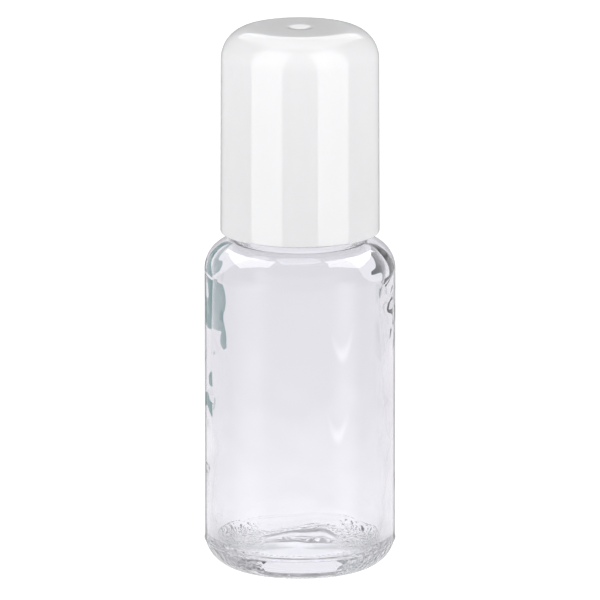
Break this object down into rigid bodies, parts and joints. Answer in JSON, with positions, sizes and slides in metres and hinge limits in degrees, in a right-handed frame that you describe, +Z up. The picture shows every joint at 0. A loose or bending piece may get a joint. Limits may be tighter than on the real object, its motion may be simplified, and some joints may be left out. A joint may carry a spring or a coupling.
{
  "type": "roll on bottle",
  "caption": "Roll-on bottle: clear glass body with a wide neck, a plugged-in ball housing, a hollow roller ball and a tall round-topped screw cap.",
  "frame": {"origin": "centre of the base, at the height of the surface that the bottle stands on", "axes": "+Z up along the bottle's axis, towards the cap; X and Y are alike because every outside form is round"},
  "size_m": [0.0384, 0.0384, 0.1108],
  "materials": {
    "clear_glass": "clear, smooth, slightly wavy inside",
    "housing_plastic": "satin moulded, slightly milky",
    "ball_plastic": "polished",
    "cap_plastic": "high gloss white"
  },
  "bodies": {
    "bottle": {"glass_bottle": "clear_glass", "ball_housing": "housing_plastic"},
    "ball": {"roller_ball": "ball_plastic"},
    "cap": {"cap": "cap_plastic"}
  },
  "joints": [
    {"name": "ball_roll", "type": "hinge", "parent": "bottle", "child": "ball", "pos_m": [0, 0, 0.0896], "axis": [1, 0, 0], "continuous": true},
    {"name": "cap_lift", "type": "slide", "parent": "bottle", "child": "cap", "axis": [0, 0, 1], "range_m": [0, 0.04]}
  ]
}
